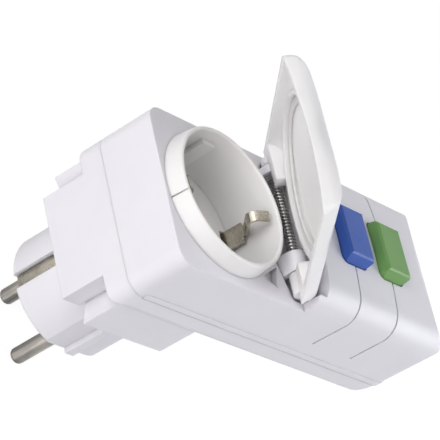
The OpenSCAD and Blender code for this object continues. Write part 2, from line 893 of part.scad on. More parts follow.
module wire(path, r, side) {
    last = len(path) - 1;
    points = [for (i = [0 : last], p = wire_ring(path, i, r, side)) p];
    skin = [for (i = [0 : last - 1], k = [0 : 5], half = [0, 1])
        let (a = 6 * i + k, b = 6 * i + (k + 1) % 6)
        half == 0 ? [a, a + 6, b] : [b, a + 6, b + 6]];
    caps = [for (k = [1 : 4]) each [[0, k, k + 1], [6 * last, 6 * last + k + 1, 6 * last + k]]];
    polyhedron(points, concat(skin, caps), convexity = 10);
}

// Least gap of a wire to itself, between points at least half a turn apart.
function wire_gap(path, r, apart) =
    let (last = len(path) - 1)
    min([for (i = [0 : last - apart], j = [i + apart : last]) norm(path[i] - path[j])]) - 2 * r;

// The lid spring: one leg stands on the floor of the trough, the coil winds round the pin,
// and the other leg meets the lid's roof.
rings = 8;
lid_spring_steps = ceil(rings * (spring_turns + lid_open / 360));
lid_spring_sweep = 360 * spring_turns + lid_open;
roof_drop = crest_z - crown_r + sqrt(pow(crown_r, 2) - pow(spring_high, 2)) - lid_wall - hinge_z - 0.1;
function lid_coil(t) =
    let (a = 180 - t * lid_spring_sweep)
    [spring_low + t * (spring_high - spring_low), hinge_y + coil_r * cos(a), hinge_z + coil_r * sin(a)];
leg_out = [0, sin(lid_open), cos(lid_open)];
leg_z = hinge_z - sqrt(pow(trough_r, 2) - pow(coil_r, 2)) + 0.1;
lid_spring_path = concat(
    [for (z = [leg_z, leg_z + spring_wire]) [spring_low, hinge_y - coil_r, z]],
    [for (i = [0 : lid_spring_steps]) lid_coil(i / lid_spring_steps)],
    [for (reach = [roof_drop - spring_wire, roof_drop]) lid_coil(1) + reach * leg_out]);

module lid_spring() {
    color("dimgray")
        wire(lid_spring_path, spring_wire / 2, [1, 0, 0]);
}

// A compression spring that stands upright on z = 0, with upright ends.
function upright_coil(d, h, turns, wire_d) =
    let (steps = rings * turns, r = d / 2)
    concat([[r, 0, 0], [r, 0, wire_d]],
        [for (i = [1 : steps - 1])
            [r * cos(360 * i / rings), r * sin(360 * i / rings), wire_d + (h - 2 * wire_d) * i / steps]],
        [[r, 0, h - wire_d], [r, 0, h]]);

module upright_spring(d, h, turns, wire_d) {
    wire(upright_coil(d, h, turns, wire_d), wire_d / 2, [1, 0.001, 0]);
}

echo("least gap of the lid spring to itself", wire_gap(lid_spring_path, spring_wire / 2, rings / 2));

// Section of a cap: upright behind the front face, then drafted, with a chamfer at the top.
module cap_section(half, draft) {
    top = crest_z + cap_rise;
    shoulder = crest_z - 0.4;
    polygon([[-half, lip_low], [half, lip_low], [half, shoulder], [half - draft, top - cap_edge],
        [half - draft - cap_edge, top], [draft + cap_edge - half, top], [draft - half, top - cap_edge],
        [-half, shoulder]]);
}

// A push button: drafted cap, retaining lip and guide stem.
module button(y, stem_z) {
    translate([0, y, 0]) {
        intersection() {
            along_y(-cap_l, cap_l)
                cap_section(cap_w / 2, cap_end_draft);
            along_x(-cap_w, cap_w)
                cap_section(cap_l / 2, cap_draft);
            translate([0, 0, lip_low])
                linear_extrude(crest_z + cap_rise - lip_low)
                    cap_outline(0);
        }
        translate([0, 0, lip_low])
            linear_extrude(cap_lip_t)
                cap_outline(cap_lip);
        translate([0, 0, stem_z])
            cylinder(h = lip_top - stem_z, r = stem_d / 2);
    }
}

module test_button() {
    color("royalblue")
        button(test_y, test_stem_z);
}

module reset_button() {
    color("olivedrab")
        button(reset_y, carrier_top + slide_fit);
}

// A return spring between the switch frame and a button's lip.
module return_spring(y) {
    translate([0, y, frame_z + 0.1])
        upright_spring(return_d, return_len - 0.2, return_turns, return_wire);
}

module test_return_spring() {
    color("silver")
        return_spring(test_y);
}

module reset_return_spring() {
    color("silver")
        return_spring(reset_y);
}

// A plug pin with a round tip, a thicker shank in the plug, a seat flange and a tail for its bar.
module plug_pin() {
    translate([pin_x, 0, 0]) {
        translate([0, 0, pin_r - pin_len])
            sphere(pin_r);
        translate([0, 0, pin_r - pin_len])
            cylinder(h = pin_len - pin_r + cut, r = pin_r);
        cylinder(h = pin_seat_z + cut, r = shank_r);
        translate([0, 0, pin_seat_z])
            cylinder(h = flange_pin_t, r = flange_pin_r);
        translate([0, 0, pin_seat_z])
            cylinder(h = tail_z - pin_seat_z, r = tail_r);
    }
}

module line_pin() {
    color("gold")
        plug_pin();
}

module neutral_pin() {
    color("gold")
        mirror([1, 0, 0])
            plug_pin();
}

// A bent sheet strip in the (y, z) plane: straight runs between the points, joined by soft bends.
function bend_at(a, b, c, reach) =
    let (from = b + unit(a - b) * min(reach, norm(a - b) / 2),
        to = b + unit(c - b) * min(reach, norm(c - b) / 2))
    [for (t = [0 : 0.25 : 1]) (1 - t) * (1 - t) * from + 2 * t * (1 - t) * b + t * t * to];
function bent_path(points, reach) =
    let (last = len(points) - 1)
    concat([points[0]],
        [for (i = [1 : last - 1]) each bend_at(points[i - 1], points[i], points[i + 1], reach)],
        [points[last]]);
function left_of(step) = [-step[1], step[0]] / norm(step);
function strip_edge(path, i, t) =
    let (before = left_of(path[max(i, 1)] - path[max(i, 1) - 1]),
        after = left_of(path[min(i + 1, len(path) - 1)] - path[min(i, len(path) - 2)]))
    path[i] + t * (before + after) / (1 + before * after);

module bent_strip(points, width, t, reach) {
    path = bent_path(points, reach);
    last = len(path) - 1;
    along_x(-width / 2, width / 2)
        polygon(concat([for (i = [0 : last]) strip_edge(path, i, t / 2)],
            [for (i = [last : -1 : 0]) strip_edge(path, i, -t / 2)]));
}

// The points of an arm, carried over to the other side of the plug axis in one line.
function both_arms(arm) =
    concat([for (i = [len(arm) - 1 : -1 : 0]) [-arm[i][0], arm[i][1]]], arm);

// Earth strap of the plug: a bridge on the plug base floor and one bowed arm in each recess.
module plug_earth_strap() {
    bow_y = plug_d / 2 - 1;
    bridge_y = pin_seat_z + clip_t / 2;
    arm = [[strap_y, bridge_y], [strap_y, plug_h - 4], [bow_y, plug_h / 2], [strap_y + 0.4, 2]];
    color("goldenrod")
        bent_strip(both_arms(arm), earth_slot_w - 2 * slide_fit, clip_t, 1);
}

// Earth clip of the socket: a bridge under the recess floor and, on each side,
// one sprung arm with a curled nose.
module socket_earth_clip() {
    bridge_y = clip_base_z + clip_t / 2;
    foot_y = clip_y - clip_t / 2;
    neck_z = floor_z + clip_foot_h;
    nose_z = rim_z - nose_drop;
    arm = [[foot_y, bridge_y], [foot_y, neck_z], [clip_nose, nose_z],
        [clip_nose + nose_curl / 4, nose_z + nose_curl / 2],
        [clip_nose + nose_curl, nose_z + nose_curl * 0.8]];
    color("goldenrod")
        intersection() {
            bent_strip(both_arms(arm), clip_w, clip_t, nose_curl / 4);
            union() {
                centred_block(clip_w, -recess_r, recess_r, clip_base_z - cut, neck_z - clip_t);
                centred_block(clip_arm_w / 2, -recess_r, recess_r, clip_base_z - cut, rim_z);
            }
        }
}

module earth_post() {
    post_z = pin_seat_z + clip_t;
    color("goldenrod")
        translate([0, 0, post_z])
            cylinder(h = clip_base_z - post_z, r = 2.2);
}

// A socket contact: a slit sleeve under the pin entry.
module contact_sleeve() {
    sleeve_h = 10;
    bore_r = pin_r + 0.1;
    color("goldenrod")
        translate([pin_x, 0, under_z - sleeve_h])
            difference() {
                cylinder(h = sleeve_h, r = sleeve_d / 2);
                translate([0, 0, -cut])
                    cylinder(h = sleeve_h + 2 * cut, r = bore_r);
                centred_block(0.4, 0, sleeve_d, -cut, sleeve_h * 0.6);
            }
}

module line_sleeve() {
    contact_sleeve();
}

module neutral_sleeve() {
    mirror([1, 0, 0])
        contact_sleeve();
}

// Fixed contact on its foot, under one end of a contact bridge.
module fixed_contact(y) {
    foot = 1;
    block([pole_x - foot, y - foot, board_top], [pole_x + foot, y + foot, bar_z + bar_t / 2]);
    translate([pole_x, y, bar_z])
        cylinder(h = bar_t + tip_h, r = tip_r);
}

// Feed bar: from the plug pin up behind the socket, through the sensing core, to the first fixed contact.
module feed_bar() {
    low_x = feed_x - bar_w / 2;
    high_x = feed_x + bar_w / 2;
    eye_z = pin_seat_z + flange_pin_t;
    run_z = under_z - clip_t - 1.8;
    rise_y = board_front - 2.6;
    drop_y = core_back + 1.2;
    contact_y = reset_y - contact_reach;
    color("peru") {
        difference() {
            block([low_x, -bar_w / 2 - 1, eye_z], [high_x, riser_back, eye_z + bar_t]);
            translate([pin_x, 0, eye_z - cut])
                cylinder(h = bar_t + 2 * cut, r = tail_r + pin_fit);
        }
        block([low_x, riser_back - bar_t, eye_z], [high_x, riser_back, run_z]);
        block([low_x, riser_back - bar_t, run_z - bar_t], [high_x, rise_y, run_z]);
        block([through_x, rise_y - bar_t, run_z - bar_t], [high_x, rise_y, core_z + through_h / 2]);
        block([through_x, rise_y - bar_t, core_z - through_h / 2],
            [through_x + through_w, drop_y, core_z + through_h / 2]);
        block([through_x, drop_y - bar_t, bar_z], [low_x + 2, drop_y, core_z + through_h / 2]);
        block([low_x + 2 - bar_t, drop_y - bar_t, bar_z], [pole_x + 2, contact_y + tip_r, bar_z + bar_t]);
        fixed_contact(contact_y);
    }
}

// Load bar: from the second fixed contact back beside the board to the socket sleeve.
module load_bar() {
    contact_y = reset_y + contact_reach;
    sleeve_hole_r = sleeve_d / 2 + pin_fit;
    eye = sleeve_d / 2 + 1;
    color("peru") {
        fixed_contact(contact_y);
        block([pole_x - tip_r, contact_y - tip_r, bar_z],
            [load_out_x + load_w, contact_y + tip_r, bar_z + bar_t]);
        block([load_out_x, cross_y, bar_z], [load_out_x + load_w, contact_y + tip_r, bar_z + bar_t]);
        block([load_in_x, cross_y, bar_z], [load_out_x + load_w, cross_y + load_w, bar_z + bar_t]);
        difference() {
            union() {
                block([load_in_x, -eye, bar_z], [load_in_x + load_w, cross_y + load_w, bar_z + bar_t]);
                block([pin_x - eye, -eye, bar_z], [load_in_x + load_w, eye, bar_z + bar_t]);
            }
            translate([pin_x, 0, bar_z - cut])
                cylinder(h = bar_t + 2 * cut, r = sleeve_hole_r);
        }
    }
}

module line_feed_bar() {
    feed_bar();
}

module neutral_feed_bar() {
    mirror([1, 0, 0])
        feed_bar();
}

module line_load_bar() {
    load_bar();
}

module neutral_load_bar() {
    mirror([1, 0, 0])
        load_bar();
}

module circuit_board() {
    color("seagreen")
        difference() {
            centred_block(board_half, board_front, board_back, board_z, board_top);
            at_screws()
                translate([0, 0, board_z - cut])
                    cylinder(h = board_t + 2 * cut, r = boss_r + slide_fit);
        }
}

// A ring about the sensing core's axis, with a rectangular section.
module core_ring(inner, outer, length, from_y) {
    translate([0, from_y, core_z])
        rotate([-90, 0, 0])
            difference() {
                cylinder(h = length, r = outer);
                translate([0, 0, -cut])
                    cylinder(h = length + 2 * cut, r = inner);
            }
}

module sensing_core() {
    color("dimgray")
        core_ring(core_bore / 2, core_r, core_l, core_y + winding_t);
}

// Winding: a wrapped sleeve over part of the core.
module core_winding() {
    color("chocolate")
        difference() {
            core_ring(core_bore / 2 - winding_t, core_r + winding_t, core_l + 2 * winding_t, core_y);
            core_ring(core_bore / 2 - pin_fit, core_r + pin_fit, core_l + 2 * pin_fit,
                core_y + winding_t - pin_fit);
            block([-core_d, core_y - cut, core_z + core_r / 2], [core_d, core_y + core_d, core_z + core_d]);
        }
}

// Switch frame: guide plate on four legs, with the carrier's guide pins and the latch pin's ears.
module switch_frame() {
    ear_low = board_top + 0.2;
    frame_half = leg_x + leg_w;
    color("dimgray")
        difference() {
            union() {
                centred_block(frame_half, frame_front, frame_back, frame_low, frame_z);
                for (side = [0, 1])
                    mirror([side, 0, 0]) {
                        for (y = [front_leg_y, back_leg_y])
                            block([leg_x, y - leg_l / 2, board_top], [frame_half, y + leg_l / 2, frame_z]);
                        block([latch_half + slide_fit, latch_y - 1.4, ear_low],
                            [latch_half + slide_fit + latch_ear_t, latch_y + 1.4, frame_z]);
                        translate([guide_pin_x, reset_y, board_top])
                            cylinder(h = frame_z - board_top, r = guide_pin_r);
                    }
            }
            for (y = [test_y, reset_y])
                translate([0, y, frame_low - cut])
                    cylinder(h = frame_t + 2 * cut, r = stem_d / 2 + 2 * pin_fit);
            bar_x(latch_pin_r + pin_fit, -half_w, half_w, latch_y, latch_pivot_z);
        }
}

module contact_carrier() {
    half_l = carrier_l / 2;
    color("ivory")
        difference() {
            centred_block(carrier_half, reset_y - half_l, reset_y + half_l, carrier_z, carrier_top);
            for (side = [-1, 1])
                translate([side * guide_pin_x, reset_y, carrier_z - cut])
                    cylinder(h = carrier_h + 2 * cut, r = guide_pin_r + 2 * pin_fit);
        }
}

module contact_bridges() {
    color("peru")
        for (side = [-1, 1]) {
            x = side * pole_x;
            block([x - 1.8, reset_y - carrier_l / 2, bridge_z],
                [x + 1.8, reset_y + carrier_l / 2, carrier_z]);
            for (end = [-1, 1])
                translate([x, reset_y + end * contact_reach, bridge_z - tip_h])
                    cylinder(h = tip_h + bridge_t / 2, r = tip_r);
        }
}

module carrier_spring() {
    color("silver")
        translate([0, reset_y, board_top + 0.1])
            upright_spring(carrier_spring_d, carrier_z - board_top - 0.2, carrier_turns, return_wire);
}

module coil_yoke() {
    half = coil_d / 2 + 0.6;
    top = trip_z + coil_d / 2;
    color("silver")
        difference() {
            union() {
                centred_block(half, yoke_y, yoke_back, yoke_z, yoke_z + yoke_t);
                centred_block(half, yoke_y, yoke_y + yoke_t, board_top, top);
                centred_block(half, yoke_back - yoke_t, yoke_back, yoke_z, top);
            }
            bar_y(plunger_r + 2 * pin_fit, yoke_y - cut, yoke_y + 2 * yoke_t, 0, trip_z);
        }
}

// Bobbin: a tube with two flanges between the yoke's plates.
module coil_bobbin() {
    low = yoke_y + yoke_t;
    high = yoke_back - yoke_t;
    color("ivory")
        difference() {
            union() {
                bar_y(plunger_r + bobbin_wall, low, high, 0, trip_z);
                bar_y(coil_d / 2, low, low + flange_t, 0, trip_z);
                bar_y(coil_d / 2, high - flange_t, high, 0, trip_z);
            }
            bar_y(plunger_r + 2 * pin_fit, low - cut, high + cut, 0, trip_z);
        }
}

module coil_winding() {
    low = yoke_y + yoke_t + flange_t;
    color("chocolate")
        difference() {
            bar_y(coil_d / 2 - 0.5, low, low + coil_l, 0, trip_z);
            bar_y(plunger_r + bobbin_wall + pin_fit, low - cut, low + coil_l + cut, 0, trip_z);
        }
}

// Plunger: a thick rod in the bobbin, a thin neck through the latch and a head that pulls the latch.
module trip_plunger() {
    neck_head_t = 0.8;
    head_y = latch_y - latch_t / 2 - 0.5;
    shoulder_y = yoke_y - 1.4;
    color("silver") {
        bar_y(plunger_r, shoulder_y, yoke_back - yoke_t - trip_travel - 0.4, 0, trip_z);
        bar_y(neck_r, head_y - neck_head_t, shoulder_y + cut, 0, trip_z);
        bar_y(neck_head_r, head_y - neck_head_t, head_y, 0, trip_z);
    }
}

// Latch: a lever on its pin with an eye for the plunger's neck and a hook toward the carrier.
module trip_latch() {
    eye = neck_r + 0.6;
    hook_h = 1.8;
    low_y = latch_y - latch_t / 2;
    hook_y = reset_y + carrier_l / 2 + 0.4;
    color("darkgray")
        difference() {
            union() {
                centred_block(latch_half, low_y, latch_y + latch_t / 2, latch_pivot_z, latch_top);
                centred_block(latch_half, hook_y, low_y + latch_t / 2, latch_top - hook_h, latch_top);
                bar_x(latch_pin_r + 0.6, -latch_half, latch_half, latch_y, latch_pivot_z);
            }
            centred_block(eye, low_y - cut, latch_y + latch_t, trip_z - eye, trip_z + eye);
            bar_x(latch_pin_r + pin_fit, -half_w, half_w, latch_y, latch_pivot_z);
        }
}

module latch_pin() {
    reach = latch_half + slide_fit + latch_ear_t;
    color("silver")
        bar_x(latch_pin_r, -reach, reach, latch_y, latch_pivot_z);
}

// Test contact: a sprung leaf on its post and the anvil below it.
module test_contact() {
    leaf_half = 1.6;
    post_x = 6;
    color("peru") {
        block([post_x, test_y - leaf_half, board_top],
            [post_x + test_leaf_t, test_y + leaf_half, test_leaf_top]);
        block([-2, test_y - leaf_half, test_leaf_top - test_leaf_t],
            [post_x + test_leaf_t, test_y + leaf_half, test_leaf_top]);
        block([-3, test_y - leaf_half, board_top],
            [-1.4, test_y + leaf_half, test_leaf_top - 2 * test_leaf_t]);
    }
}

// An axial component that lies along the housing on two bent leads.
module axial_part(x, y, r, length) {
    lead_r = 0.4;
    z = board_top + r + 0.4;
    translate([x, y, 0]) {
        bar_y(r, -length / 2, length / 2, 0, z);
        for (end = [-1, 1])
            translate([0, end * (length / 2 + 1), 0]) {
                translate([0, 0, board_top])
                    cylinder(h = z - board_top, r = lead_r);
                translate([0, 0, z])
                    sphere(lead_r);
                bar_y(lead_r, min(0, -end * 1.5), max(0, -end * 1.5), 0, z);
            }
    }
}

module test_resistor() {
    color("burlywood")
        axial_part(-leg_x - leg_w / 2, (front_leg_y + back_leg_y) / 2 + 2.6, 1.3, 3.4);
}

module load_resistor() {
    color("burlywood")
        axial_part(leg_x + leg_w / 2, (front_leg_y + back_leg_y) / 2, 1.5, 7);
}

module filter_capacitor() {
    color("steelblue")
        translate([0, (test_y + reset_y) / 2 - 1.9, board_top])
            cylinder(h = 9, r = 3);
}

module surge_varistor() {
    disc_r = 3.6;
    y = front_leg_y + leg_l / 2 + disc_r + 0.8;
    color("orange")
        intersection() {
            bar_x(disc_r, -leg_x - leg_w + 0.2, -leg_x - 0.2, y, board_top + disc_r - 0.4);
            centred_block(body_w, y - body_w, y + body_w, board_top, crest_z);
        }
}

module trip_thyristor() {
    case_r = 2.3;
    x = coil_d / 2 + 4.2;
    y = yoke_y + 2;
    lead_h = 2.4;
    color("dimgray") {
        translate([x, y, board_top + lead_h])
            intersection() {
                cylinder(h = 4.8, r = case_r);
                centred_block(case_r, -case_r, case_r * 0.6, 0, 5);
            }
        for (i = [-1, 0, 1])
            translate([x + 1.27 * i, y, board_top])
                cylinder(h = lead_h + cut, r = 0.25);
    }
}

// Housing screws: sunk heads in the rear shell, shanks in the front shell's bosses.
module housing_screws() {
    head_z = rear_z + screw_sink;
    color("silver")
        at_screws() {
            translate([0, 0, head_z])
                cylinder(h = screw_head_t, r = screw_head_d / 2);
            translate([0, 0, head_z])
                cylinder(h = rear_h + screw_len - screw_sink - 2 * cut, r = screw_d / 2);
        }
}

front_shell();
rear_shell();
socket_insert();
lid();
lid_gasket();
hinge_pin();
lid_spring();
test_button();
reset_button();
test_return_spring();
reset_return_spring();
line_pin();
neutral_pin();
plug_earth_strap();
socket_earth_clip();
earth_post();
line_sleeve();
neutral_sleeve();
line_feed_bar();
neutral_feed_bar();
line_load_bar();
neutral_load_bar();
circuit_board();
sensing_core();
core_winding();
switch_frame();
contact_carrier();
contact_bridges();
carrier_spring();
coil_yoke();
coil_bobbin();
coil_winding();
trip_plunger();
trip_latch();
latch_pin();
test_contact();
test_resistor();
load_resistor();
filter_capacitor();
surge_varistor();
trip_thyristor();
housing_screws();
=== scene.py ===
"""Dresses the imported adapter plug: finishes for its mouldings and metal, its springs, screws, pins
and plug earth strap modelled in full, and a soft white studio."""
import json
import math

import bpy
from mathutils import Matrix, Vector


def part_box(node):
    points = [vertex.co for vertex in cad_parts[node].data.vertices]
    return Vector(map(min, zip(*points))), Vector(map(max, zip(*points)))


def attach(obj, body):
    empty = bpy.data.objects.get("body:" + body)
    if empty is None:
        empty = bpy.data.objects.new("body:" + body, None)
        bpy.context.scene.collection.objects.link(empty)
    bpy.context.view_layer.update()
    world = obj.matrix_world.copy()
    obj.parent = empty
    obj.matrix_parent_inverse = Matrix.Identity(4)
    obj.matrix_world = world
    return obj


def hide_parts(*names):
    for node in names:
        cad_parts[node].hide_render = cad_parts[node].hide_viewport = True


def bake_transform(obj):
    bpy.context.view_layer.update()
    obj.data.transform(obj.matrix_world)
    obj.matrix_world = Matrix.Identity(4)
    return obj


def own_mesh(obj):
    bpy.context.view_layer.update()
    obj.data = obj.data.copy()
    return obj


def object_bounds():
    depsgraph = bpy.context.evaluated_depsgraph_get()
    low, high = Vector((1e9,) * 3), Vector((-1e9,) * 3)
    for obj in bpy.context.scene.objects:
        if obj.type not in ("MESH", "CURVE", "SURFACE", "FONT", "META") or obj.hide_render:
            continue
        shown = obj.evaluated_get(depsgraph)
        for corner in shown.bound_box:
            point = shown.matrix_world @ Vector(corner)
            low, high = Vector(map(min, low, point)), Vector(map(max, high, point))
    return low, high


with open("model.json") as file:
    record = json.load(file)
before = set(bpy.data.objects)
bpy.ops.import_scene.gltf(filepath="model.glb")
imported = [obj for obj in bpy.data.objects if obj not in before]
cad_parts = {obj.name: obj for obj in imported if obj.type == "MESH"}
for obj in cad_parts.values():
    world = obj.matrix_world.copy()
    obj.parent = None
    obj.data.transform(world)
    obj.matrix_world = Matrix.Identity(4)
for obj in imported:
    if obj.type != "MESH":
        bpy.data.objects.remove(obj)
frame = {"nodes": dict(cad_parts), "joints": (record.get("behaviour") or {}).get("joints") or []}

nodes = frame["nodes"]
joints = {joint["name"]: joint for joint in frame["joints"]}
cad_low, cad_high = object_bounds()
mm = 0.001


# Finishes: ways to lay out nodes

number = "NodeSocketFloat"
triple = "NodeSocketVector"


def effect(name, inputs, outputs):
    """A new shader node group with named sockets, and its input and output nodes."""
    group = bpy.data.node_groups.new(name, "ShaderNodeTree")
    for label, kind, value in inputs:
        socket = group.interface.new_socket(label, in_out="INPUT", socket_type=kind)
        socket.default_value = value
    for label, kind in outputs:
        group.interface.new_socket(label, in_out="OUTPUT", socket_type=kind)
    return group, group.nodes.new("NodeGroupInput"), group.nodes.new("NodeGroupOutput")


def put_out(group, result, **values):
    """Links values to the group's outputs of the same names."""
    for label, value in values.items():
        group.links.new(value, result.inputs[label])


def add(tree, kind, sockets=None, **settings):
    """A node with its sockets set by label and its properties by name."""
    node = tree.nodes.new(kind)
    for key, value in settings.items():
        setattr(node, key, value)
    for key, value in (sockets or {}).items():
        node.inputs[key].default_value = value
    return node


def feed(tree, value, socket):
    """Links a socket to another one, or sets it where the value is plain."""
    if isinstance(value, bpy.types.NodeSocket):
        tree.links.new(value, socket)
    else:
        socket.default_value = value


def own_place(tree):
    """The piece's own coordinates."""
    return add(tree, "ShaderNodeTexCoord").outputs["Object"]


def noise(tree, place, scale, detail=2.0, rough=0.5, warp=0.0):
    """A noise texture over a place. Its scale is a number or a socket."""
    node = add(tree, "ShaderNodeTexNoise",
               {"Detail": detail, "Roughness": rough, "Distortion": warp})
    tree.links.new(place, node.inputs["Vector"])
    feed(tree, scale, node.inputs["Scale"])
    return node.outputs["Fac"]


def window(tree, value, low, high, to_low=0.0, to_high=1.0):
    """A value stretched from one span to another, held at the ends."""
    node = add(tree, "ShaderNodeMapRange",
               {"From Min": low, "From Max": high, "To Min": to_low, "To Max": to_high})
    tree.links.new(value, node.inputs["Value"])
    return node.outputs["Result"]


def reckon(tree, operation, *values):
    """The result of one step of arithmetic on values, each a number or a socket."""
    node = add(tree, "ShaderNodeMath", operation=operation)
    for value, socket in zip(values, node.inputs):
        feed(tree, value, socket)
    return node.outputs["Value"]


def rounded(tree, radius):
    """The piece's normal, with its edges rounded to a radius."""
    node = add(tree, "ShaderNodeBevel", samples=4)
    feed(tree, radius, node.inputs["Radius"])
    return node.outputs["Normal"]


def bumped(tree, normal, height, strength, distance):
    """A normal that follows a height as well."""
    node = add(tree, "ShaderNodeBump", {"Distance": distance})
    feed(tree, strength, node.inputs["Strength"])
    tree.links.new(height, node.inputs["Height"])
    tree.links.new(normal, node.inputs["Normal"])
    return node.outputs["Normal"]


# Finishes: effects that several materials share

def moulded_skin():
    """Fine spark-eroded grain, slow waves from shrinkage and edges that are never quite sharp."""
    group, given, result = effect(
        "moulded_skin",
        [("Grain Scale", number, 2600.0), ("Grain Depth", number, 0.06),
         ("Edge Radius", number, 0.3 * mm)],
        [("Normal", triple), ("Tone", number), ("Gloss", number)])
    place = own_place(group)
    edge = rounded(group, given.outputs["Edge Radius"])
    grain = noise(group, place, given.outputs["Grain Scale"], detail=3.0, rough=0.6)
    pits = bumped(group, edge, grain, strength=given.outputs["Grain Depth"], distance=0.05 * mm)
    wave = noise(group, place, scale=70.0, detail=1.0)
    tone = noise(group, place, scale=45.0, detail=4.0, rough=0.6)
    gloss = noise(group, place, scale=160.0, detail=5.0, rough=0.65)
    put_out(group, result,
            Normal=bumped(group, pits, wave, strength=0.05, distance=0.6 * mm),
            Tone=window(group, tone, low=0.3, high=0.7),
            Gloss=window(group, gloss, low=0.3, high=0.75))
    return group


def edge_wear():
    """A broken mask along the outer edges, where hands and outlets rub."""
    group, given, result = effect(
        "edge_wear",
        [("Edge Radius", number, 0.4 * mm), ("Break Up", number, 420.0)],
        [("Mask", number)])
    turned_away = add(group, "ShaderNodeVectorMath", operation="DOT_PRODUCT")
    group.links.new(rounded(group, given.outputs["Edge Radius"]), turned_away.inputs[0])
    group.links.new(add(group, "ShaderNodeNewGeometry").outputs["Normal"], turned_away.inputs[1])
    rim = window(group, turned_away.outputs["Value"], low=0.72, high=0.99, to_low=1.0, to_high=0.0)
    patch = noise(group, own_place(group), given.outputs["Break Up"], detail=4.0, rough=0.65)
    broken = window(group, patch, low=0.42, high=0.68)
    put_out(group, result, Mask=reckon(group, "MULTIPLY", rim, broken))
    return group


def handling_marks():
    """Faint smudges and a few specks of dust."""
    group, given, result = effect(
        "handling_marks",
        [("Smudge Scale", number, 60.0)],
        [("Smudge", number), ("Specks", number)])
    place = own_place(group)
    smear = noise(group, place, given.outputs["Smudge Scale"], detail=5.0, rough=0.6, warp=0.8)
    speck = add(group, "ShaderNodeTexVoronoi", {"Scale": 900.0, "Randomness": 1.0})
    group.links.new(place, speck.inputs["Vector"])
    dots = window(group, speck.outputs["Distance"], low=0.05, high=0.12, to_low=1.0, to_high=0.0)
    few = window(group, noise(group, place, scale=210.0), low=0.66, high=0.7)
    put_out(group, result,
            Smudge=window(group, smear, low=0.5, high=0.75),
            Specks=reckon(group, "MULTIPLY", dots, few))
    return group


def painted_crease_shade():
    """A mask of painted shade in tight corners and seams, from ambient occlusion broken up by noise.
    """
    group, given, result = effect(
        "painted_crease_shade",
        [("Reach", number, 1.2 * mm)],
        [("Mask", number)])
    # Painted shade: occlusion within reach marks where corners and seams are darkened
    corner = add(group, "ShaderNodeAmbientOcclusion", samples=6)
    group.links.new(given.outputs["Reach"], corner.inputs["Distance"])
    tight = window(group, corner.outputs["AO"], low=0.3, high=0.85, to_low=1.0, to_high=0.0)
    patch = noise(group, own_place(group), scale=300.0, detail=3.0)
    broken = window(group, patch, low=0.3, high=0.6, to_low=0.6, to_high=1.0)
    put_out(group, result, Mask=reckon(group, "MULTIPLY", tight, broken))
    return group


def drawn_metal():
    """Fine marks along the direction in which wire, sheet or rod was drawn."""
    group, given, result = effect(
        "drawn_metal",
        [("Stretch", triple, (1.0, 1.0, 1.0)), ("Depth", number, 0.1)],
        [("Normal", triple), ("Streak", number), ("Tarnish", number)])
    place = own_place(group)
    along = add(group, "ShaderNodeVectorMath", operation="MULTIPLY")
    group.links.new(place, along.inputs[0])
    group.links.new(given.outputs["Stretch"], along.inputs[1])
    streak = noise(group, along.outputs["Vector"], scale=900.0, detail=4.0, rough=0.7)
    tarnish = noise(group, place, scale=260.0, detail=5.0, rough=0.6)
    edge = rounded(group, 0.12 * mm)
    put_out(group, result,
            Normal=bumped(group, edge, streak, given.outputs["Depth"], distance=0.03 * mm),
            Streak=window(group, streak, low=0.3, high=0.7),
            Tarnish=window(group, tarnish, low=0.4, high=0.75))
    return group


skin = moulded_skin()
wear = edge_wear()
marks = handling_marks()
# Painted shade for the corners and seams of mouldings and metal
crease_shade = painted_crease_shade()
drawn = drawn_metal()


# Finishes: the materials

finish = {}
speck_grey = (0.32, 0.31, 0.29)


def bare_tree(owner):
    """The emptied node tree of a material or a world."""
    owner.use_nodes = True
    owner.node_tree.nodes.clear()
    return owner.node_tree


def blank(name):
    """A new finish: a material with a Principled shader on its output."""
    finish[name] = bpy.data.materials.new(name)
    tree = bare_tree(finish[name])
    shader = tree.nodes.new("ShaderNodeBsdfPrincipled")
    output = tree.nodes.new("ShaderNodeOutputMaterial")
    tree.links.new(shader.outputs["BSDF"], output.inputs["Surface"])
    return tree, shader


def place_effect(tree, group, **values):
    """The outputs of a shared effect in a material, with its own values."""
    node = tree.nodes.new("ShaderNodeGroup")
    node.node_tree = group
    for label, value in values.items():
        node.inputs[label.replace("_", " ").title()].default_value = value
    return node.outputs


def tint(tree, mask, plain, other, amount=1.0):
    """A colour that turns to another where the mask is high. The plain one may be a socket."""
    mix = add(tree, "ShaderNodeMix", data_type="RGBA")
    # A Mix node has sockets of the same names for each kind of value, so colours go by number
    from_colour, to_colour, mixed = mix.inputs[6], mix.inputs[7], mix.outputs[2]
    tree.links.new(reckon(tree, "MULTIPLY", mask, amount), mix.inputs["Factor"])
    feed(tree, (*plain, 1.0) if isinstance(plain, tuple) else plain, from_colour)
    to_colour.default_value = (*other, 1.0)
    return mixed


def shade(colour, share):
    """A colour made darker or lighter by a share, white at most."""
    return tuple(min(1.0, share * part) for part in colour)


